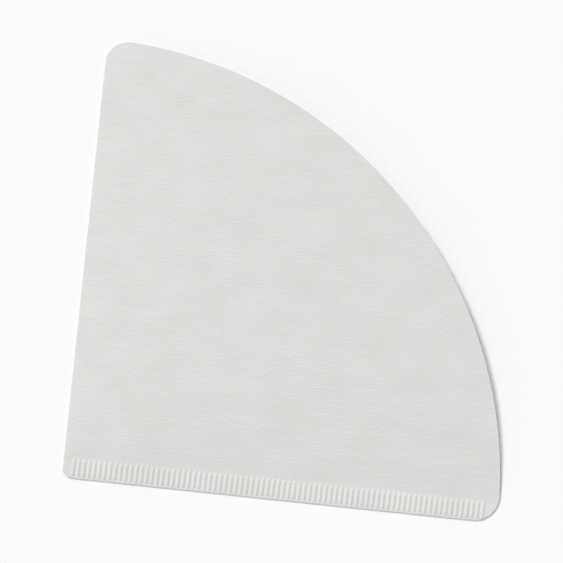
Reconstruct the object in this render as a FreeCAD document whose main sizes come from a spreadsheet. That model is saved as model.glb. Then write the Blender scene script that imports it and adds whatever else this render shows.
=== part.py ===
"""Cone coffee filter: one sheet of crepe filter paper, folded flat.

The sheet is folded once into two leaves, its open straight edges are crimped together without
glue, and a die cuts both leaves to their outline at once. The result is a fan. The tip is the
point of the cone, one straight side is the fold, the other is the crimped seam, and the round
edge is the mouth. The upper leaf stands a little off the lower one, so the pocket is open at
the mouth, and it is curved one way only, as a sheet of paper has to be.

The fan is drawn with its tip at the origin and its seam along +X, lying on the XY plane. It is
then turned about Z until the line that halves it points along +Y, and moved until the origin is
under the middle of its box. All sizes are in millimetres and degrees.
"""

import FreeCAD, Part
import math
import os

import Sketcher

V = FreeCAD.Vector

# Driving dimensions: alias, size, meaning.
SIZES = [
    ("cone_angle", 60, "angle of the opened cone, which is the dripper's"),
    ("side_length", 125, "from the tip to the mouth"),
    ("paper_thickness", 0.25, "one layer of crepe filter paper"),
    ("corner_radius", 7, "round corners at both ends of the mouth"),
    ("tip_radius", 3, "round corner at the tip"),
    ("die_clearance", 0.3, "how far the die stands outside the folded side"),
    ("fold_flat", 0.1, "what is left flat in the middle of the folded side"),
    ("mouth_gap", 3, "how far the leaves stand apart in the middle of the mouth"),
    ("seam_width", 6, "band where the two leaves are pressed together"),
    ("crimp_margin", 0.7, "from the seam's cut edge to the crimps"),
    ("crimp_length", 4.6, "one crimp, across the seam"),
    ("crimp_width", 0.9, "one crimp, along the seam, at its foot"),
    ("crimp_top", 0.3, "one crimp, along the seam, at its top"),
    ("crimp_height", 0.3, "how far a crimp is pressed up"),
    ("crimp_pitch", 1.5, "from one crimp to the next"),
    ("crimp_start", 2.8, "from the pocket's corner to the first crimp"),
    ("offcut", 20, "paper around the fan that the die cuts away"),
]
SIZE = {alias: size for alias, size, meaning in SIZES}

# The cone's surface unrolls to a sector of 360 * sin(cone_angle / 2), which the fold halves.
FAN = "(180 * sin(Sizes.cone_angle / 2))"
HALF_FAN = f"({FAN} / 2)"

# The pocket's corner is where the inside of the fold meets the inner edge of the seam.
POCKET_X = f"((Sizes.paper_thickness + Sizes.seam_width * cos({FAN})) / sin({FAN}))"
POCKET_Y = "Sizes.seam_width"
POCKET_START = f"({POCKET_X} * cos({HALF_FAN}) + {POCKET_Y} * sin({HALF_FAN}))"

# Centres of the die's round corners, along the side that each one joins.
SEAM_CORNER = "sqrt((Sizes.side_length - Sizes.corner_radius) ^ 2 - Sizes.corner_radius ^ 2)"
FOLD_INSET = "(Sizes.corner_radius - Sizes.die_clearance)"
FOLD_CORNER = f"sqrt((Sizes.side_length - Sizes.corner_radius) ^ 2 - {FOLD_INSET} ^ 2)"
TIP_CENTRE = (
    f"((Sizes.tip_radius - Sizes.die_clearance + Sizes.tip_radius * cos({FAN})) / sin({FAN}))"
)

START, END, CENTRE = range(1, 4)  # points of a sketched line or arc
ORIGIN = (-1, START)  # a sketch's own origin
TOUCHING = 0.001  # a corner this near to a line lies on it


def make_sheet(doc):
    """Writes the driving dimensions into the document's table."""
    sheet = doc.addObject("Spreadsheet::Sheet", "Sizes")
    for row, (alias, size, meaning) in enumerate(SIZES, start=1):
        sheet.set(f"A{row}", alias)
        sheet.set(f"B{row}", str(size))
        sheet.set(f"C{row}", meaning)
        sheet.setAlias(f"B{row}", alias)
    doc.recompute()


def origin_feature(body, role):
    """One of the body's own planes or axes."""
    return next(item for item in body.Origin.OriginFeatures if item.Role == role)


def new_sketch(body, name, plane, **offsets):
    """An empty sketch on one of the body's planes, shifted from it by offsets that follow sizes."""
    sketch = body.newObject("Sketcher::SketchObject", name)
    sketch.AttachmentSupport = [(origin_feature(body, plane), "")]
    sketch.MapMode = "FlatFace"
    for axis, expression in offsets.items():
        sketch.setExpression(f"AttachmentOffset.Base.{axis}", expression)
    return sketch


def hold(sketch, kind, *where):
    """Adds a geometric constraint."""
    sketch.addConstraint(Sketcher.Constraint(kind, *where))


def dimension(sketch, name, expression, kind, *where):
    """Adds a named dimension that follows the sizes. The last of where is its first value."""
    index = sketch.addConstraint(Sketcher.Constraint(kind, *where))
    sketch.renameConstraint(index, name)
    sketch.setExpression(f"Constraints.{name}", expression)


def turn_about(item, placement, axis, expression):
    """Ties a placement's turn to the sizes. It starts at a degree, because no turn has no axis."""
    base = getattr(item, placement).Base
    setattr(item, placement, FreeCAD.Placement(base, FreeCAD.Rotation(axis, 1)))
    item.setExpression(f"{placement}.Rotation.Angle", expression)


def flat_angle():
    """The fan's angle in degrees, for the first positions in a sketch."""
    return 180 * math.sin(math.radians(SIZE["cone_angle"] / 2))


def point_at(angle, distance, left=0):
    """A point along a line from the tip, and to the left of that line."""
    cos, sin = math.cos(math.radians(angle)), math.sin(math.radians(angle))
    return V(distance * cos - left * sin, distance * sin + left * cos, 0)


def arc_about(centre, radius, first, last):
    """An arc about a centre, from one direction to another."""
    circle = Part.Circle(centre, V(0, 0, 1), radius)
    return Part.ArcOfCircle(circle, math.radians(first), math.radians(last))


def draw_closed(sketch, corners):
    """Draws straight sides from each corner to the next and back to the first."""
    for corner, following in zip(corners, corners[1:] + corners[:1]):
        sketch.addGeometry(Part.LineSegment(corner, following))
    for side in range(len(corners)):
        hold(sketch, "Coincident", side, END, (side + 1) % len(corners), START)


def bow_sketch(body, name, plane, width, height, **offsets):
    """A flat arch: a chord on the sketch's own X axis and one arc over it.

    width and height are an expression and a first value each.
    """
    sketch = new_sketch(body, name, plane, **offsets)
    (width_rule, width_value), (height_rule, height_value) = width, height
    left, right = V(-width_value / 2, 0, 0), V(width_value / 2, 0, 0)
    chord = sketch.addGeometry(Part.LineSegment(left, right))
    bow = sketch.addGeometry(Part.Arc(right, V(0, height_value, 0), left))
    hold(sketch, "Coincident", chord, END, bow, START)
    hold(sketch, "Coincident", chord, START, bow, END)
    hold(sketch, "Symmetric", chord, START, chord, END, *ORIGIN)
    hold(sketch, "Horizontal", chord)
    dimension(sketch, "width", width_rule, "Distance", chord, width_value)
    radius_rule = f"({height_rule}) / 2 + ({width_rule}) ^ 2 / (8 * ({height_rule}))"
    radius_value = height_value / 2 + width_value ** 2 / (8 * height_value)
    dimension(sketch, "radius", radius_rule, "Radius", bow, radius_value)
    return sketch


def tooth_sketch(body, name, **offsets):
    """The section of one crimp, as the tooth of the crimping wheel leaves it."""
    sketch = new_sketch(body, name, "XZ_Plane", **offsets)
    width, top, height = SIZE["crimp_width"], SIZE["crimp_top"], SIZE["crimp_height"]
    corners = [V(-width / 2, 0, 0), V(width / 2, 0, 0), V(top / 2, height, 0), V(-top / 2, height, 0)]
    draw_closed(sketch, corners)
    foot, right, ridge, left = range(len(corners))
    hold(sketch, "Horizontal", ridge)
    hold(sketch, "Symmetric", foot, START, foot, END, *ORIGIN)
    hold(sketch, "Horizontal", foot)
    hold(sketch, "Equal", left, right)
    dimension(sketch, "width", "Sizes.crimp_width", "Distance", foot, width)
    dimension(sketch, "top", "Sizes.crimp_top", "Distance", ridge, top)
    dimension(sketch, "height", "Sizes.crimp_height", "DistanceY", *ORIGIN, ridge, START, height)
    return sketch


def two_leaves(body):
    """Both layers of the blank, with the fold as their one finished side."""
    sketch = new_sketch(body, "blank_outline", "XY_Plane")
    offcut = SIZE["offcut"]
    reach = SIZE["side_length"] + offcut
    below, above = (point_at(flat_angle(), distance) for distance in (-offcut, reach))
    corners = [below, below + V(reach, 0, 0), above + V(reach, 0, 0), above]
    draw_closed(sketch, corners)
    bottom, far_side, top, fold = range(len(corners))
    hold(sketch, "Horizontal", bottom)
    hold(sketch, "Horizontal", top)
    hold(sketch, "Parallel", fold, far_side)
    hold(sketch, "PointOnObject", *ORIGIN, fold)
    reach_rule = "Sizes.side_length + Sizes.offcut"
    dimension(sketch, "below", "Sizes.offcut", "DistanceY", bottom, START, *ORIGIN, offcut)
    dimension(sketch, "above", reach_rule, "DistanceY", *ORIGIN, top, END, reach)
    dimension(sketch, "across", reach_rule, "DistanceX", bottom, START, bottom, END, reach)
    dimension(sketch, "fan", FAN, "Angle", far_side, math.radians(flat_angle()))

    pad = body.newObject("PartDesign::Pad", "two_leaves")
    pad.Profile = (sketch, [""])
    pad.setExpression("Length", "2 * Sizes.paper_thickness")
    return pad


def rounded_fold(body, pad):
    """Rounds the two long edges of the folded side, where one leaf turns into the other."""
    body.Document.recompute()
    outward = point_at(flat_angle(), 0, left=1)
    on_fold = [
        f"Edge{number}"
        for number, edge in enumerate(pad.Shape.Edges, start=1)
        if edge.Length > SIZE["side_length"]
        and all(abs(corner.Point.dot(outward)) < TOUCHING for corner in edge.Vertexes)
    ]
    fillet = body.newObject("PartDesign::Fillet", "rounded_fold")
    fillet.Base = (pad, on_fold)
    fillet.setExpression("Radius", "Sizes.paper_thickness - Sizes.fold_flat / 2")


def leaf_space(body, kind, name, level):
    """A flat cone lying on its side, from the pocket's corner out past the mouth.

    Added on top of the leaves it raises the upper one. Cut out one layer lower it is the pocket,
    and what is left between the two is the upper leaf, one paper thick.
    """
    corner = new_sketch(body, f"{name}_corner", "XY_Plane", z=level)
    x, y = SIZE["paper_thickness"], SIZE["seam_width"]
    point = corner.addGeometry(Part.Point(V(x, y, 0)))
    dimension(corner, "along", POCKET_X, "DistanceX", *ORIGIN, point, START, x)
    dimension(corner, "across", POCKET_Y, "DistanceY", *ORIGIN, point, START, y)

    reach = "Sizes.side_length"
    half_angle = math.radians(flat_angle() / 2)
    width = (f"2 * {reach} * tan({HALF_FAN})", 2 * SIZE["side_length"] * math.tan(half_angle))
    height_rule = f"Sizes.mouth_gap * {reach} / (Sizes.side_length - {POCKET_START})"
    section = bow_sketch(
        body,
        f"{name}_section",
        "XZ_Plane",
        width,
        (height_rule, SIZE["mouth_gap"]),
        x=f"{POCKET_X} + {reach} * cos({HALF_FAN})",
        y=level,
        z=f"-({POCKET_Y} + {reach} * sin({HALF_FAN}))",
    )
    turn_about(section, "AttachmentOffset", V(0, 1, 0), f"90 + {HALF_FAN}")

    loft = body.newObject(f"PartDesign::{kind}", name)
    loft.Profile = (section, [""])
    loft.Sections = [(corner, ["Vertex1"])]
    loft.Ruled = True
    return loft


def crimps(body):
    """The seam: ridges pressed up through both leaves, with the hollow of each one below it."""
    middle = "Sizes.crimp_margin + Sizes.crimp_length / 2"
    first = f"{POCKET_X} + Sizes.crimp_start"
    pressed = []
    for kind, name, level in (
        ("Pad", "crimp_ridge", "2 * Sizes.paper_thickness"),
        ("Pocket", "crimp_hollow", "0"),
    ):
        sketch = tooth_sketch(body, f"{name}_section", x=first, y=level, z=f"-({middle})")
        feature = body.newObject(f"PartDesign::{kind}", name)
        feature.Profile = (sketch, [""])
        feature.SideType = "Symmetric"
        feature.setExpression("Length", "Sizes.crimp_length")
        pressed.append(feature)

    # The row ends where the round corner begins to cut the crimps short.
    corner_cut = "sqrt(Sizes.corner_radius ^ 2 - (Sizes.corner_radius - Sizes.crimp_margin) ^ 2)"
    last = f"{SEAM_CORNER} + {corner_cut} - Sizes.crimp_width / 2"
    row = body.newObject("PartDesign::LinearPattern", "crimp_row")
    row.Originals = pressed
    row.Direction = (origin_feature(body, "X_Axis"), [""])
    row.Mode = "Spacing"
    row.setExpression("Offset", "Sizes.crimp_pitch")
    row.setExpression("Occurrences", f"floor(({last} - ({first})) / Sizes.crimp_pitch) + 1")
    body.Tip = row


def die_outline(sketch):
    """The fan's closed outline, with its corners round and its fold side clear of the paper."""
    fan = flat_angle()
    side, corner, tip = SIZE["side_length"], SIZE["corner_radius"], SIZE["tip_radius"]
    clearance = SIZE["die_clearance"]
    lean = math.degrees(math.asin(corner / (side - corner)))
    fold_lean = math.degrees(math.asin((corner - clearance) / (side - corner)))
    seam_centre = point_at(lean, side - corner)
    fold_centre = point_at(fan - fold_lean, side - corner)
    sin_fan, cos_fan = math.sin(math.radians(fan)), math.cos(math.radians(fan))
    tip_centre = V((tip - clearance + tip * cos_fan) / sin_fan, tip, 0)
    outward = point_at(fan, 0, left=1)

    outline = [
        Part.LineSegment(V(tip_centre.x, 0, 0), V(seam_centre.x, 0, 0)),
        arc_about(seam_centre, corner, -90, lean),
        arc_about(V(0, 0, 0), side, lean, fan - fold_lean),
        arc_about(fold_centre, corner, fan - fold_lean, fan + 90),
        Part.LineSegment(fold_centre + outward * corner, tip_centre + outward * tip),
        arc_about(tip_centre, tip, fan + 90, 270),
    ]
    for edge in outline:
        sketch.addGeometry(edge)
    seam, seam_corner, mouth, fold_corner, fold, tip_corner = range(len(outline))
    for number in range(len(outline)):
        hold(sketch, "Tangent", number, END, (number + 1) % len(outline), START)
    hold(sketch, "Coincident", mouth, CENTRE, *ORIGIN)
    hold(sketch, "Horizontal", seam)
    hold(sketch, "PointOnObject", *ORIGIN, seam)
    hold(sketch, "Equal", seam_corner, fold_corner)
    dimension(sketch, "side", "Sizes.side_length", "Radius", mouth, side)
    dimension(sketch, "corner", "Sizes.corner_radius", "Radius", seam_corner, corner)
    dimension(sketch, "tip", "Sizes.tip_radius", "Radius", tip_corner, tip)
    dimension(sketch, "clearance", "Sizes.die_clearance", "Distance", *ORIGIN, fold, clearance)
    dimension(sketch, "fan", f"{FAN} + 180", "Angle", fold, math.radians(fan + 180))


def die_cut(body):
    """Cuts away all the paper between the fan's outline and a circle around the blank."""
    sketch = new_sketch(body, "die", "XY_Plane")
    die_outline(sketch)
    around = 2 * (SIZE["side_length"] + SIZE["offcut"])
    waste = sketch.addGeometry(Part.Circle(V(0, 0, 0), V(0, 0, 1), around))
    hold(sketch, "Coincident", waste, CENTRE, *ORIGIN)
    around_rule = "2 * (Sizes.side_length + Sizes.offcut)"
    dimension(sketch, "around", around_rule, "Radius", waste, around)

    cut = body.newObject("PartDesign::Pocket", "die_cut")
    cut.Profile = (sketch, [""])
    cut.SideType = "Symmetric"
    cut.Type = "ThroughAll"


def place_fan(body):
    """Turns the fan until its middle line is along +Y, with the origin under the box's middle."""
    sin_half, cos_half = f"sin({HALF_FAN})", f"cos({HALF_FAN})"
    right = f"({SEAM_CORNER} * {sin_half} - Sizes.corner_radius * {cos_half})"
    left = f"({FOLD_CORNER} * {sin_half} - {FOLD_INSET} * {cos_half})"
    bottom = f"({TIP_CENTRE} * {cos_half} + Sizes.tip_radius * {sin_half} - Sizes.tip_radius)"
    turn_about(body, "Placement", V(0, 0, 1), f"90 - {HALF_FAN}")
    body.setExpression("Placement.Base.x", f"({left} - {right}) / 2")
    body.setExpression("Placement.Base.y", f"-(Sizes.side_length + {bottom}) / 2")


def cone_filter(doc):
    """The whole filter, one piece of paper."""
    body = doc.addObject("PartDesign::Body", "cone_filter")
    body.Label = "cone_filter"
    rounded_fold(body, two_leaves(body))
    leaf_space(body, "AdditiveLoft", "raised_leaf", "2 * Sizes.paper_thickness")
    crimps(body)
    leaf_space(body, "SubtractiveLoft", "pocket", "Sizes.paper_thickness")
    die_cut(body)
    place_fan(body)
    return body


def check(doc, pieces):
    """Stops if any object of the document failed, or if a piece isn't one sound solid."""
    for item in doc.Objects:
        if "Invalid" in item.State or "Error" in item.State:
            raise RuntimeError(f"{item.Name} failed: {item.State}")
        if item.isDerivedFrom("Sketcher::SketchObject") and not item.FullyConstrained:
            raise RuntimeError(f"{item.Name} isn't fully constrained")
    for piece in pieces:
        if piece.Shape.isNull() or not piece.Shape.isValid() or len(piece.Shape.Solids) != 1:
            raise RuntimeError(f"{piece.Label} isn't one valid solid")


def main():
    doc = FreeCAD.newDocument("ConeFilter")
    make_sheet(doc)
    pieces = [cone_filter(doc)]
    doc.recompute()
    check(doc, pieces)
    os.makedirs("parts", exist_ok=True)
    for piece in pieces:
        piece.Shape.exportStep(f"parts/{piece.Label}.step")
        box = piece.Shape.optimalBoundingBox()
        extent = f"{box.XLength:.2f} x {box.YLength:.2f} x {box.ZLength:.2f} mm"
        print(f"{piece.Label}: {extent}, {piece.Shape.Volume:.1f} mm3")


main()
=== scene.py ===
"""The look of the folded cone filter: one sheet of bleached crepe paper, seen from above.

The sheet is modelled whole: a thin plate that comes up from the lower leaf, turns round the fold
and goes on as the upper leaf, with both leaves pressed into the same crimps along the seam.
Lengths are in millimetres here, and become metres on their way into a tree or the scene.
"""

import math
from collections import namedtuple

import bpy
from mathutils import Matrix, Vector


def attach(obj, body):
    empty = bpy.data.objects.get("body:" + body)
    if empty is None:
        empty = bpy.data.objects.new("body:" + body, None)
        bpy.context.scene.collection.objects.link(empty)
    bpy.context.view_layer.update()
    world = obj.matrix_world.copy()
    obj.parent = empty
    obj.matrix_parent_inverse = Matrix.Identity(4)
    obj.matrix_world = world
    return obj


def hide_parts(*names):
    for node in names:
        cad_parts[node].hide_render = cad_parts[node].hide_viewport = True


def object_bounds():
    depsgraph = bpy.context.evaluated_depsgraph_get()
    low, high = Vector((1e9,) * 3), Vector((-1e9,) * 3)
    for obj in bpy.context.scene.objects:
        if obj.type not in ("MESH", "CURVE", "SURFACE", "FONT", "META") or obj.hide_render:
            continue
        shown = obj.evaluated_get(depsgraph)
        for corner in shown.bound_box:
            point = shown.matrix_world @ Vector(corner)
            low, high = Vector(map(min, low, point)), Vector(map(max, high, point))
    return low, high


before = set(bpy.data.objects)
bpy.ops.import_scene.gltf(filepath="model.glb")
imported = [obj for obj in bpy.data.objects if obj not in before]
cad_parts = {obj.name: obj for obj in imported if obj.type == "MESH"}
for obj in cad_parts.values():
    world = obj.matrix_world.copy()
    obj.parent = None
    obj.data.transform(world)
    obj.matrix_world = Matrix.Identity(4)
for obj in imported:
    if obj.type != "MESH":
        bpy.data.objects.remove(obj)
cad_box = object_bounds()

# A millimetre, and a length too small to see, which joins corners that meet and keeps a divisor
# from being nothing.
MM = 0.001
TINY = MM * MM

# A quarter turn, and how much of a line that runs halfway between two axes lies along each.
RIGHT_ANGLE = math.pi / 2
DIAGONAL = math.sqrt(0.5)

# The fan, as it is cut and folded.
SIDE = 125
CORNER = 7
TIP = 3
DIE_CLEARANCE = 0.3
SEAM = 6
MOUTH_GAP = 3

# The upper leaf is bowed, so it falls a little short of the lower one at the end of the seam.
LEAF_CREEP = 0.45

# The paper. Both leaves with the air between them fill the two layers that the fold takes.
FOLD_OUTSIDE = 0.25
PAPER = 0.21
FOLD_MIDDLE = FOLD_OUTSIDE - PAPER / 2

# The crimps of the seam. Their ends slope, and some are fainter than others.
CRIMP_PITCH = 1.5
CRIMP_WIDTH = 0.9
CRIMP_TOP = 0.3
CRIMP_HEIGHT = 0.3
CRIMP_MARGIN = 0.7
CRIMP_LENGTH = 4.6
CRIMP_START = 2.8
CRIMP_SLOPE = 0.7
FAINTEST_CRIMP = 0.8
CRIMPS_ALIKE = 1.7

# The relief of the crepe. Its ridges cross the web of paper, and so they cross the fold.
CREPE_HEIGHT = 0.05
CREPE_WIDTH = 1.4
CREPE_LENGTH = 8
CREPE_WANDER = 2.8
COCKLE_HEIGHT = 0.12
COCKLE_WIDTH = 9
COCKLE_LENGTH = 16
WAVE_HEIGHT = 0.6
WAVE_SIZE = 45

# What holds the relief down: the fold, up to this far from it, and the crimps, by this share.
# The cockles are full where the leaf has risen by this share of its rise at the mouth.
FOLD_PRESS = 1
CRIMP_PRESS = 0.7
LOOSE_RISE = 1 / 6

# Noise runs from 0 to 1. Its roughness is the strength of each finer layer against the one
# before it, and the noise of the mesh has half of one such layer.
NOISE_MIDDLE = 0.5
NOISE_ROUGHNESS = 0.5
MESH_DETAIL = 0.5

# Noise keeps near its middle. These parts of its range become the whole height.
CREPE_RANGE = (0.25, 0.75)
COCKLE_RANGE = (0.2, 0.825)

# The crimps and the lower leaf's ridges take the sheet's own seed. The others count on from it.
SHEET_SEED = 4
WANDER_SEED = 1
COCKLE_SEED = 2
UPPER_LEAF_SEED = 3
WAVE_SEED = 7

# The mesh has columns across the seam and rows along it. In the seam, at its two ends and on
# the edge of the mouth there are five columns to a crimp. Elsewhere every fifth one is kept.
# The nose columns turn round the fold, and the end columns draw closer over the end's reach.
NOSE_COLUMNS = 4
CRIMP_COLUMNS = 5
FIRST_COLUMN = 0.5
LEAD_COLUMNS = 7
END_COLUMNS = 7
END_REACH = 1.1
CORNER_COLUMNS = 33

# The rows of the seam are fine at both ends of the crimps. At the seam's far end, where columns
# are short, they take up no less than one share of their column and no more than another.
SEAM_ROWS = 10
FINE_ROWS = 3
FINE_ROW = 0.35
COARSE_ROW = 0.96
LEAST_SEAM_SHARE = 0.045
MOST_SEAM_SHARE = 0.4
LEAF_ROWS = 160

# Columns and rows are counted, so a test between two of them is set halfway.
HALF_STEP = 0.5

# Faces that meet at more than this angle, in degrees, have a hard edge between them.
SHARP_ANGLE = 60

# The patterns of the material. Cells are in millimetres, along and across the seam.
Pattern = namedtuple("Pattern", "along across seed detail")
CLOUDS = Pattern(along=12, across=9, seed=1, detail=3.0)
RIDGES = Pattern(along=3.2, across=0.5, seed=2, detail=2.0)
WANDER = Pattern(along=5, across=5, seed=3, detail=1.0)
CREASES = Pattern(along=2.4, across=0.6, seed=4, detail=1.0)
FIBRES = Pattern(along=0.14, across=0.14, seed=8, detail=2.0)
RIDGE_WANDER = 1.6
CREASE_SHARPNESS = 5

# The relief that is too fine for the mesh. The seam presses a share of it away, which grows
# from none to full over the blur inside the seam's edge.
RIDGE_BUMP = 0.072
CREASE_BUMP = 0.03
FIBRE_BUMP = 0.009
SEAM_PRESS = 0.55
SEAM_BLUR = 0.6

# Bleached paper: its darkest and its lightest colour, where they lie in the mix, and the share of
# each pattern in that mix. The clouds and fibres are the paper's own tone. The ridges' share is
# painted shade, darker in the crepe's valleys and lighter on its ridges.
DARK_PAPER = (0.692, 0.685, 0.671, 1)
LIGHT_PAPER = (0.738, 0.732, 0.719, 1)
CLOUD_RANGE = (0.3, 0.7)
CLOUD_SHARE = 0.65
# The ridges' share of the colour is painted shade in the crepe's valleys.
RIDGE_PAINTED_SHADE_SHARE = 0.2
FIBRE_SHARE = 0.15

# The paper is matt, and its fibres make it rougher still.
SMOOTHEST = 0.86
FIBRE_ROUGHNESS = 0.1
PAPER_GLOSS = 0.25

# The table top, just under the paper, and the light on it.
TABLE_HALF = 3000
TABLE_DROP = 0.02
TABLE_WHITE = (0.95, 0.95, 0.948, 1)
TABLE_ROUGHNESS = 0.9
TABLE_GLOSS = 0.1
WHITE = (1, 1, 1, 1)
ROOM_LIGHT = 0.5
BACKDROP_LIGHT = 1.0

# The lamps. Angles are in degrees, and the azimuth is counted from the picture's right.
Lamp = namedtuple("Lamp", "azimuth elevation strength softness")
KEY_LAMP = Lamp(azimuth=128, elevation=38, strength=2.1, softness=16)
OVERHEAD_LAMP = Lamp(azimuth=60, elevation=75, strength=0.35, softness=40)

# How the filter lies: its seam is turned this far from +X, in degrees.
SEAM_DIRECTION = 45

# The picture: its seam slopes down to the right by some degrees, and its middle is right of the
# fan's corner and above it.
SEAM_TILT = 6
PICTURE_MIDDLE = (62.5, 55.5)
CAMERA_HEIGHT = 445
CAMERA_LENS = 100


class Wire:
    """A value in a node tree. Sums on it become Math nodes."""

    def __init__(self, maker, socket):
        self.maker = maker
        self.socket = socket

    def output(self, name):
        """Another output of the node that this value comes from."""
        return Wire(self.maker, self.socket.node.outputs[name])

    def __add__(self, other):
        return self.maker.maths("ADD", self, other)

    def __radd__(self, other):
        return self.maker.maths("ADD", other, self)

    def __sub__(self, other):
        return self.maker.maths("SUBTRACT", self, other)

    def __rsub__(self, other):
        return self.maker.maths("SUBTRACT", other, self)

    def __mul__(self, other):
        return self.maker.maths("MULTIPLY", self, other)

    def __rmul__(self, other):
        return self.maker.maths("MULTIPLY", other, self)

    def __truediv__(self, other):
        return self.maker.maths("DIVIDE", self, other)

    def __lt__(self, other):
        return self.maker.maths("LESS_THAN", self, other)

    def __gt__(self, other):
        return self.maker.maths("GREATER_THAN", self, other)

    def choose(self, when_true, when_false):
        """One of two values, where this one is 1 or 0."""
        return self * when_true + (1 - self) * when_false

    def cosine(self):
        return self.maker.maths("COSINE", self)

    def sine(self):
        return self.maker.maths("SINE", self)

    def root(self):
        return self.maker.maths("SQRT", self)

    def size(self):
        return self.maker.maths("ABSOLUTE", self)

    def sign(self):
        return self.maker.maths("SIGN", self)

    def nearest(self):
        return self.maker.maths("ROUND", self)

    def at_least(self, other):
        return self.maker.maths("MAXIMUM", self, other)

    def at_most(self, other):
        return self.maker.maths("MINIMUM", self, other)

    def between(self, start, end):
        """How far this value is on its way from a start to an end, from 0 to 1."""
        return ((self - start) / (end - start)).at_least(0).at_most(1)


class Maker:
    """Adds nodes to one tree."""

    def __init__(self, tree):
        self.tree = tree

    def node(self, kind, settings=None, values=None):
        """The first output of a node, with its settings, then its sockets' values or wires."""
        made = self.tree.nodes.new(kind)
        for name, setting in (settings or {}).items():
            if name == "stops":
                fill_ramp(made.color_ramp, setting)
            else:
                setattr(made, name, setting)
        for name, value in (values or {}).items():
            socket = made.inputs[name]
            if isinstance(value, Wire):
                self.tree.links.new(value.socket, socket)
            else:
                socket.default_value = value
        return Wire(self, made.outputs[0]) if made.outputs else None

    def maths(self, operation, *values):
        return self.node("ShaderNodeMath", {"operation": operation}, dict(enumerate(values)))

    def vector(self, x, y, z):
        return self.node("ShaderNodeCombineXYZ", None, {"X": x, "Y": y, "Z": z})


def fill_ramp(ramp, stops):
    """Sets a colour ramp's stops, each a position and a colour."""
    while len(ramp.elements) < len(stops):
        ramp.elements.new(1)
    for element, (position, colour) in zip(ramp.elements, stops):
        element.position = position
        element.color = colour


def seam_end(side):
    """How far along the seam its round corner starts, for a leaf with this side."""
    return math.sqrt((side - CORNER) ** 2 - CORNER ** 2)


def crimp_count():
    """How many crimps fit between the pocket's corner and the round corner of the seam."""
    first = FOLD_OUTSIDE + CRIMP_START
    corner_cut = math.sqrt(CORNER ** 2 - (CORNER - CRIMP_MARGIN) ** 2)
    last = seam_end(SIDE) + corner_cut - CRIMP_WIDTH / 2
    return math.floor((last - first) / CRIMP_PITCH) + 1


def sheet_counts():
    """Whole numbers that the sheet's tree is given."""
    even_reach = seam_end(SIDE - LEAF_CREEP) + CORNER - END_REACH - FIRST_COLUMN
    even_columns = math.floor(even_reach * CRIMP_COLUMNS / CRIMP_PITCH) + 1
    columns = NOSE_COLUMNS + even_columns + END_COLUMNS
    first_kept = NOSE_COLUMNS + 1 + LEAD_COLUMNS
    kept = (columns - CORNER_COLUMNS - first_kept) // CRIMP_COLUMNS
    return {
        "Columns": columns,
        "Rows": SEAM_ROWS + LEAF_ROWS,
        "First kept column": first_kept,
        "Last kept column": first_kept + kept * CRIMP_COLUMNS,
        "Crimps": crimp_count(),
        "Seed": SHEET_SEED,
    }


# The lengths that the sheet's tree is given. They become metres on their way in.
SHEET_LENGTHS = {
    "Side": SIDE,
    "Corner radius": CORNER,
    "Tip radius": TIP,
    "Die clearance": DIE_CLEARANCE,
    "Seam width": SEAM,
    "Mouth gap": MOUTH_GAP,
    "Leaf creep": LEAF_CREEP,
    "Fold outside": FOLD_OUTSIDE,
    "Fold middle": FOLD_MIDDLE,
    "Paper": PAPER,
    "Crimp pitch": CRIMP_PITCH,
    "Crimp width": CRIMP_WIDTH,
    "Crimp top": CRIMP_TOP,
    "Crimp height": CRIMP_HEIGHT,
    "Crimp margin": CRIMP_MARGIN,
    "Crimp length": CRIMP_LENGTH,
    "Crimp start": CRIMP_START,
    "Crimp slope": CRIMP_SLOPE,
    "Crepe height": CREPE_HEIGHT,
    "Crepe width": CREPE_WIDTH,
    "Crepe length": CREPE_LENGTH,
    "Crepe wander": CREPE_WANDER,
    "Cockle height": COCKLE_HEIGHT,
    "Cockle width": COCKLE_WIDTH,
    "Cockle length": COCKLE_LENGTH,
    "Wave height": WAVE_HEIGHT,
    "Wave size": WAVE_SIZE,
    "Fold press": FOLD_PRESS,
    "First column": FIRST_COLUMN,
    "Fine row": FINE_ROW,
    "Coarse row": COARSE_ROW,
}


def noise(make, along, across, pattern):
    """Noise from 0 to 1, in cells of one size along the seam and another size across it."""
    values = {
        "Vector": make.vector(along / pattern.along, across / pattern.across, pattern.seed),
        "Scale": 1.0,
        "Detail": pattern.detail,
        "Roughness": NOISE_ROUGHNESS,
    }
    return make.node("ShaderNodeTexNoise", {"noise_dimensions": "3D"}, values)


def soft_noise(make, along, across, cell_along, cell_across, seed):
    """Noise for the mesh, with no more detail than its columns and rows can show."""
    return noise(make, along, across, Pattern(cell_along, cell_across, seed, MESH_DETAIL))


def column_place(given, step, upper):
    """Where a column is: round the fold, then evenly, then closer and closer to the far end."""
    turn = (step / NOSE_COLUMNS).at_most(1) * RIGHT_ANGLE
    turn_cos, turn_sin = turn.cosine(), turn.sine()
    nose = given("Fold outside") * (1 - turn_cos)
    spacing = given("Crimp pitch") / CRIMP_COLUMNS
    even = given("First column") + spacing * (step - NOSE_COLUMNS - 1)
    last_step = given("Columns") - END_COLUMNS - NOSE_COLUMNS - 1
    last_even = given("First column") + spacing * last_step
    side, corner = given("Side") - given("Leaf creep") * upper, given("Corner radius")
    seam_reach = ((side - corner) * (side - corner) - corner * corner).root()
    left_over = given("Columns") - step + 1
    left_share = left_over / (END_COLUMNS + 1)
    leaf_end = seam_reach + corner
    end = leaf_end - (leaf_end - last_even) * left_share * left_share
    on_nose = step < NOSE_COLUMNS + HALF_STEP
    near_end = left_over < END_COLUMNS + HALF_STEP
    along = on_nose.choose(nose, near_end.choose(end, even))
    return along, seam_reach, turn_cos, turn_sin


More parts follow.
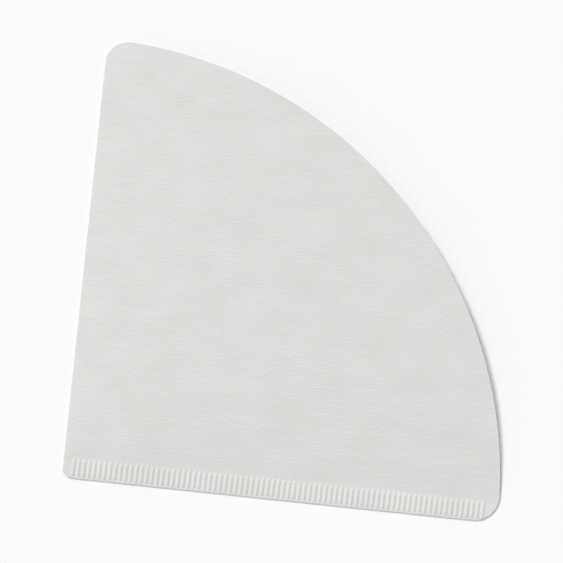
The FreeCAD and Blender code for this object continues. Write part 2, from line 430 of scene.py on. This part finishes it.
def outline(given, along, seam_reach, upper):
    """The lower and the upper end of a column, on the die's straight sides and arcs."""
    corner, tip, clearance = given("Corner radius"), given("Tip radius"), given("Die clearance")
    in_tip = (tip - clearance - along).at_least(0)
    in_corner = (along - seam_reach).at_least(0)
    corner_rise = (corner * corner - in_corner * in_corner).root()
    low = tip - (tip * tip - in_tip * in_tip).root() + corner - corner_rise

    side = given("Side") - given("Leaf creep") * upper * along / given("Side")
    inner_side = side - corner
    fold_along = corner - clearance
    fold_across = (inner_side * inner_side - fold_along * fold_along).root()
    from_centre = (along - fold_along).size()
    fold_rise = (corner * corner - from_centre * from_centre).root()
    mouth = (side * side - along * along).root()
    in_fold_corner = along < fold_along * side / inner_side
    in_seam_corner = along > seam_reach * side / inner_side
    high = in_fold_corner.choose(fold_across + fold_rise, mouth)
    return low, in_seam_corner.choose(corner + corner_rise, high)


def row_place(given, row_number, low, high):
    """Where a row is: at fixed distances from the seam's edge, then evenly to the mouth."""
    fine, coarse = given("Fine row"), given("Coarse row")
    coarse_rows = SEAM_ROWS - 2 * FINE_ROWS
    seam_row = row_number.at_most(SEAM_ROWS)
    coarse_row = (seam_row - FINE_ROWS).at_least(0).at_most(coarse_rows)
    seam_part = fine * seam_row + (coarse - fine) * coarse_row
    all_seam_rows = fine * SEAM_ROWS + (coarse - fine) * coarse_rows
    reach = high - low
    seam_height = all_seam_rows - low
    seam_height = seam_height.at_least(reach * LEAST_SEAM_SHARE).at_most(reach * MOST_SEAM_SHARE)
    leaf_part = (row_number - SEAM_ROWS).at_least(0) / LEAF_ROWS
    return low + seam_part / all_seam_rows * seam_height + leaf_part * (reach - seam_height)


def crimp_relief(make, given, along, across):
    """How high the crimps lift the paper, and where they press it."""
    pitch = given("Crimp pitch")
    from_first = along - given("Fold outside") - given("Crimp start")
    number = (from_first / pitch).nearest().at_least(0).at_most(given("Crimps") - 1)
    from_middle = (from_first - number * pitch).size()
    tooth = from_middle.between(given("Crimp width") / 2, given("Crimp top") / 2)
    half_slope = given("Crimp slope") / 2
    near_end = given("Crimp margin")
    far_end = near_end + given("Crimp length")
    starts = across.between(near_end - half_slope, near_end + half_slope)
    stops = across.between(far_end + half_slope, far_end - half_slope)
    spread = soft_noise(make, number, number, CRIMPS_ALIKE, CRIMPS_ALIKE, given("Seed"))
    strength = (FAINTEST_CRIMP + 2 * (1 - FAINTEST_CRIMP) * spread).at_most(1)
    pressed = starts * stops
    return tooth * pressed * given("Crimp height") * strength, pressed


def leaf_rise(given, along, across):
    """How far the upper leaf has risen from its creases, as a share of its rise at the mouth."""
    from_fold = (along - given("Fold outside")).at_least(0)
    from_seam = (across - given("Seam width")).at_least(0)
    share = from_fold * from_seam / (from_fold + from_seam + TINY)
    mouth_middle = given("Side") * DIAGONAL
    middle_from_fold = mouth_middle - given("Fold outside")
    middle_from_seam = mouth_middle - given("Seam width")
    middle_sum = middle_from_fold + middle_from_seam
    return share * middle_sum / (middle_from_fold * middle_from_seam)


def crepe_relief(make, given, along, across, upper, pressed, rise):
    """The ridges of the crepe, which the fold and the crimps press flat, and wider cockles."""
    seed = given("Seed") + UPPER_LEAF_SEED * upper
    length, width = given("Crepe length"), given("Crepe width")
    wander = soft_noise(make, along, across, length, length, seed + WANDER_SEED) - NOISE_MIDDLE
    waved = across + wander * given("Crepe wander")
    ridges = soft_noise(make, along, waved, length, width, seed).between(*CREPE_RANGE)
    cells = given("Cockle length"), given("Cockle width")
    cockles = soft_noise(make, along, across, *cells, seed + COCKLE_SEED).between(*COCKLE_RANGE)
    fold = given("Fold outside")
    free = along.between(fold, fold + given("Fold press")) * (1 - CRIMP_PRESS * pressed)
    loose = rise.between(0, LOOSE_RISE)
    return given("Crepe height") * free * ridges + given("Cockle height") * loose * cockles


def new_sheet_tree():
    """An empty tree with the sheet's inputs."""
    tree = bpy.data.node_groups.new("folded_sheet", "GeometryNodeTree")
    tree.interface.new_socket("Geometry", in_out="OUTPUT", socket_type="NodeSocketGeometry")
    kinds = {name: "NodeSocketFloat" for name in SHEET_LENGTHS}
    kinds.update({name: "NodeSocketInt" for name in sheet_counts()})
    kinds.update({"Place": "NodeSocketVector", "Turn": "NodeSocketVector"})
    kinds["Paper finish"] = "NodeSocketMaterial"
    for name, kind in kinds.items():
        tree.interface.new_socket(name, in_out="INPUT", socket_type=kind)
    return tree


def sheet_tree():
    """The tree that makes the folded sheet from a plate of columns and rows."""
    tree = new_sheet_tree()
    make = Maker(tree)
    given = make.node("NodeGroupInput").output
    columns, rows = given("Columns"), given("Rows")

    # A plate of size 1 with its middle column on the fold, a leaf on each side, and two skins.
    plate_values = {
        "Size": (1, 1, 1),
        "Vertices X": columns * 2 + 1,
        "Vertices Y": rows + 1,
        "Vertices Z": 2,
    }
    plate = make.node("GeometryNodeMeshCube", None, plate_values)
    position = make.node("GeometryNodeInputPosition")
    part = make.node("ShaderNodeSeparateXYZ", None, {"Vector": position}).output
    column = (part("X") * columns * 2).nearest()
    leaf, fine_step = column.sign(), column.size()
    upper = leaf > 0
    row_number = ((part("Y") + 0.5) * rows).nearest()
    skin = part("Z") * 2

    # Past the seam, the columns between those that are kept close up onto the nearest of them,
    # in all rows but the last.
    first_kept, last_kept = given("First kept column"), given("Last kept column")
    kept = first_kept + CRIMP_COLUMNS * ((fine_step - first_kept) / CRIMP_COLUMNS).nearest()
    closing_rows = (row_number > SEAM_ROWS + HALF_STEP) * (row_number < rows - HALF_STEP)
    closes = closing_rows * (fine_step > first_kept) * (fine_step < last_kept)
    step = closes.choose(kept, fine_step)

    along, seam_reach, turn_cos, turn_sin = column_place(given, step, upper)
    low, high = outline(given, along, seam_reach, upper)
    across = row_place(given, row_number, low, high)
    crimp, pressed = crimp_relief(make, given, along, across)
    rise = leaf_rise(given, along, across)
    wave_size = given("Wave size")
    wave = soft_noise(make, along, across, wave_size, wave_size, given("Seed") + WAVE_SEED)
    lift = upper * rise * (given("Mouth gap") + given("Wave height") * (wave - NOISE_MIDDLE))
    crepe = crepe_relief(make, given, along, across, upper, pressed, rise)

    # The skins lie on both sides of the paper's middle, round the fold and along the leaves.
    bend = given("Fold middle") + skin * given("Paper") / 2
    x = along + (given("Fold outside") - bend) * turn_cos
    z = given("Fold outside") + bend * turn_sin * leaf + crimp + lift + crepe
    shaped = make.vector(x, across, z)

    # The material follows the flat sheet, which has its fold in the middle.
    flat_place = make.vector(0.5 + leaf * along / given("Side") / 2, across / given("Side"), 0)
    uv_settings = {"data_type": "FLOAT2", "domain": "CORNER"}
    uv_values = {"Geometry": plate, "Name": "flat_sheet", "Value": flat_place}
    with_uv = make.node("GeometryNodeStoreNamedAttribute", uv_settings, uv_values)
    bent = make.node("GeometryNodeSetPosition", None, {"Geometry": with_uv, "Position": shaped})
    merged = make.node("GeometryNodeMergeByDistance", None, {"Geometry": bent, "Distance": TINY})
    smooth = make.node("GeometryNodeSetShadeSmooth", None, {"Geometry": merged})
    placing = {"Geometry": smooth, "Translation": given("Place"), "Rotation": given("Turn")}
    placed = make.node("GeometryNodeTransform", None, placing)
    real = make.node("GeometryNodeRealizeInstances", None, {"Geometry": placed})
    finish = {"Geometry": real, "Material": given("Paper finish")}
    finished = make.node("GeometryNodeSetMaterial", None, finish)
    make.node("NodeGroupOutput", None, {"Geometry": finished})
    return tree


def plain_mesh(name, tree, values):
    """Runs a tree with these values and keeps its result as a plain mesh object."""
    carrier = bpy.data.objects.new(f"{name}_maker", bpy.data.meshes.new(f"{name}_maker"))
    bpy.context.scene.collection.objects.link(carrier)
    modifier = carrier.modifiers.new(name, "NODES")
    modifier.node_group = tree
    for item in tree.interface.items_tree:
        if item.in_out == "INPUT":
            modifier[item.identifier] = values[item.name]
    graph = bpy.context.evaluated_depsgraph_get()
    mesh = bpy.data.meshes.new_from_object(carrier.evaluated_get(graph))
    mesh.name = name
    bpy.data.objects.remove(carrier)
    made = bpy.data.objects.new(name, mesh)
    bpy.context.scene.collection.objects.link(made)
    return made


def fan_place(box):
    """Where the fan's own corner lies: under the mouth by one side, and left of the seam's end."""
    _, high = box
    reach = (seam_end(SIDE) - CORNER) * DIAGONAL + CORNER
    return Vector((high.x - reach * MM, high.y - SIDE * MM, 0))


def new_material(name):
    """An empty material, and the maker of its nodes."""
    material = bpy.data.materials.new(name)
    material.use_nodes = True
    material.node_tree.nodes.clear()
    return material, Maker(material.node_tree)


def crepe_paper():
    """Bleached crepe filter paper: matt, faintly cloudy, with wavy ridges and loose fibres."""
    material, make = new_material("crepe_paper")
    sheet = make.node("ShaderNodeUVMap", {"uv_map": "flat_sheet"})
    part = make.node("ShaderNodeSeparateXYZ", None, {"Vector": sheet}).output
    along, across = part("X") * (2 * SIDE), part("Y") * SIDE

    clouds = noise(make, along, across, CLOUDS)
    waved = across + RIDGE_WANDER * (noise(make, along, across, WANDER) - NOISE_MIDDLE)
    ridges = noise(make, along, waved, RIDGES)
    from_crease = (noise(make, along, waved, CREASES) - NOISE_MIDDLE).size()
    creases = (1 - CREASE_SHARPNESS * from_crease).at_least(0)
    fibres = noise(make, along, across, FIBRES)

    # The colour mixes the paper's own clouds and fibres with painted shade from the crepe's ridges,
    # darker in the valleys and lighter on the ridge tops.
    tone_and_painted_shade = CLOUD_SHARE * clouds + RIDGE_PAINTED_SHADE_SHARE * ridges + FIBRE_SHARE * fibres
    darkest, lightest = CLOUD_RANGE
    stops = [(darkest, DARK_PAPER), (lightest, LIGHT_PAPER)]
    colour = make.node("ShaderNodeValToRGB", {"stops": stops}, {"Fac": tone_and_painted_shade})

    free = 1 - SEAM_PRESS * across.between(SEAM, SEAM - SEAM_BLUR)
    relief = (RIDGE_BUMP * ridges + CREASE_BUMP * creases) * free
    in_millimetres = {"Strength": 1.0, "Distance": MM}
    crepe = make.node("ShaderNodeBump", None, {**in_millimetres, "Height": relief})
    fuzz = {**in_millimetres, "Height": FIBRE_BUMP * fibres, "Normal": crepe}
    paper = {
        "Base Color": colour,
        "Roughness": SMOOTHEST + FIBRE_ROUGHNESS * fibres,
        "Normal": make.node("ShaderNodeBump", None, fuzz),
        "Specular IOR Level": PAPER_GLOSS,
    }
    shader = make.node("ShaderNodeBsdfPrincipled", None, paper)
    make.node("ShaderNodeOutputMaterial", None, {"Surface": shader})
    return material


def filter_sheet():
    """The filter itself, one sheet."""
    values = {name: length * MM for name, length in SHEET_LENGTHS.items()}
    values.update(sheet_counts())
    values["Place"] = fan_place(cad_box)
    values["Turn"] = Vector((0, 0, math.radians(SEAM_DIRECTION)))
    values["Paper finish"] = crepe_paper()
    sheet = plain_mesh("filter_paper_sheet", sheet_tree(), values)
    sheet.data.set_sharp_from_angle(angle=math.radians(SHARP_ANGLE))
    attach(sheet, "root")
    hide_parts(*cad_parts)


def pale_table():
    """A plain white table top under the filter."""
    mesh = bpy.data.meshes.new("table_top")
    half, height = TABLE_HALF * MM, -TABLE_DROP * MM
    corners = [(x * half, y * half, height) for x, y in ((-1, -1), (1, -1), (1, 1), (-1, 1))]
    mesh.from_pydata(corners, [], [(0, 1, 2, 3)])
    table = bpy.data.objects.new("table_top", mesh)
    bpy.context.scene.collection.objects.link(table)
    material, make = new_material("white_table")
    white = {
        "Base Color": TABLE_WHITE,
        "Roughness": TABLE_ROUGHNESS,
        "Specular IOR Level": TABLE_GLOSS,
    }
    shader = make.node("ShaderNodeBsdfPrincipled", None, white)
    make.node("ShaderNodeOutputMaterial", None, {"Surface": shader})
    mesh.materials.append(material)


def picture_turn():
    """How far the picture's right is turned from +X, in degrees."""
    return SEAM_DIRECTION + SEAM_TILT


def distant_light(name, lamp):
    """A large lamp far away, which lights the whole table alike."""
    data = bpy.data.lights.new(name, "SUN")
    data.energy = lamp.strength
    data.angle = math.radians(lamp.softness)
    light = bpy.data.objects.new(name, data)
    turn = math.radians(picture_turn() + lamp.azimuth)
    height = math.radians(lamp.elevation)
    level = math.cos(height)
    towards = Vector((math.cos(turn) * level, math.sin(turn) * level, math.sin(height)))
    light.rotation_euler = towards.to_track_quat("Z", "Y").to_euler()
    bpy.context.scene.collection.objects.link(light)


def studio():
    """Even light from all round, with a key from the upper left that shows the relief."""
    world = bpy.data.worlds.new("studio")
    world.use_nodes = True
    world.node_tree.nodes.clear()
    make = Maker(world.node_tree)
    path = make.node("ShaderNodeLightPath").output
    seen = path("Is Camera Ray").at_least(path("Is Glossy Ray")).at_least(path("Is Transmission Ray"))
    light = make.node("ShaderNodeBackground", None, {"Color": WHITE, "Strength": ROOM_LIGHT})
    backdrop = make.node("ShaderNodeBackground", None, {"Color": WHITE, "Strength": BACKDROP_LIGHT})
    both = make.node("ShaderNodeMixShader", None, {0: seen, 1: light, 2: backdrop})
    make.node("ShaderNodeOutputWorld", None, {"Surface": both})
    bpy.context.scene.world = world
    distant_light("key", KEY_LAMP)
    distant_light("overhead", OVERHEAD_LAMP)


def camera(fan_corner):
    """Straight above the filter, turned so that the seam runs along the bottom of the picture."""
    turn = math.radians(picture_turn())
    data = bpy.data.cameras.new("camera")
    data.lens = CAMERA_LENS
    view = bpy.data.objects.new("camera", data)
    bpy.context.scene.collection.objects.link(view)
    right = Vector((math.cos(turn), math.sin(turn), 0))
    up = Vector((-math.sin(turn), math.cos(turn), 0))
    middle_right, middle_up = PICTURE_MIDDLE
    view.location = fan_corner + (right * middle_right + up * middle_up) * MM
    view.location.z = CAMERA_HEIGHT * MM
    view.rotation_euler = (0, 0, turn)
    bpy.context.scene.camera = view


bpy.context.scene.view_settings.view_transform = "Standard"
filter_sheet()
pale_table()
studio()
camera(fan_place(cad_box))
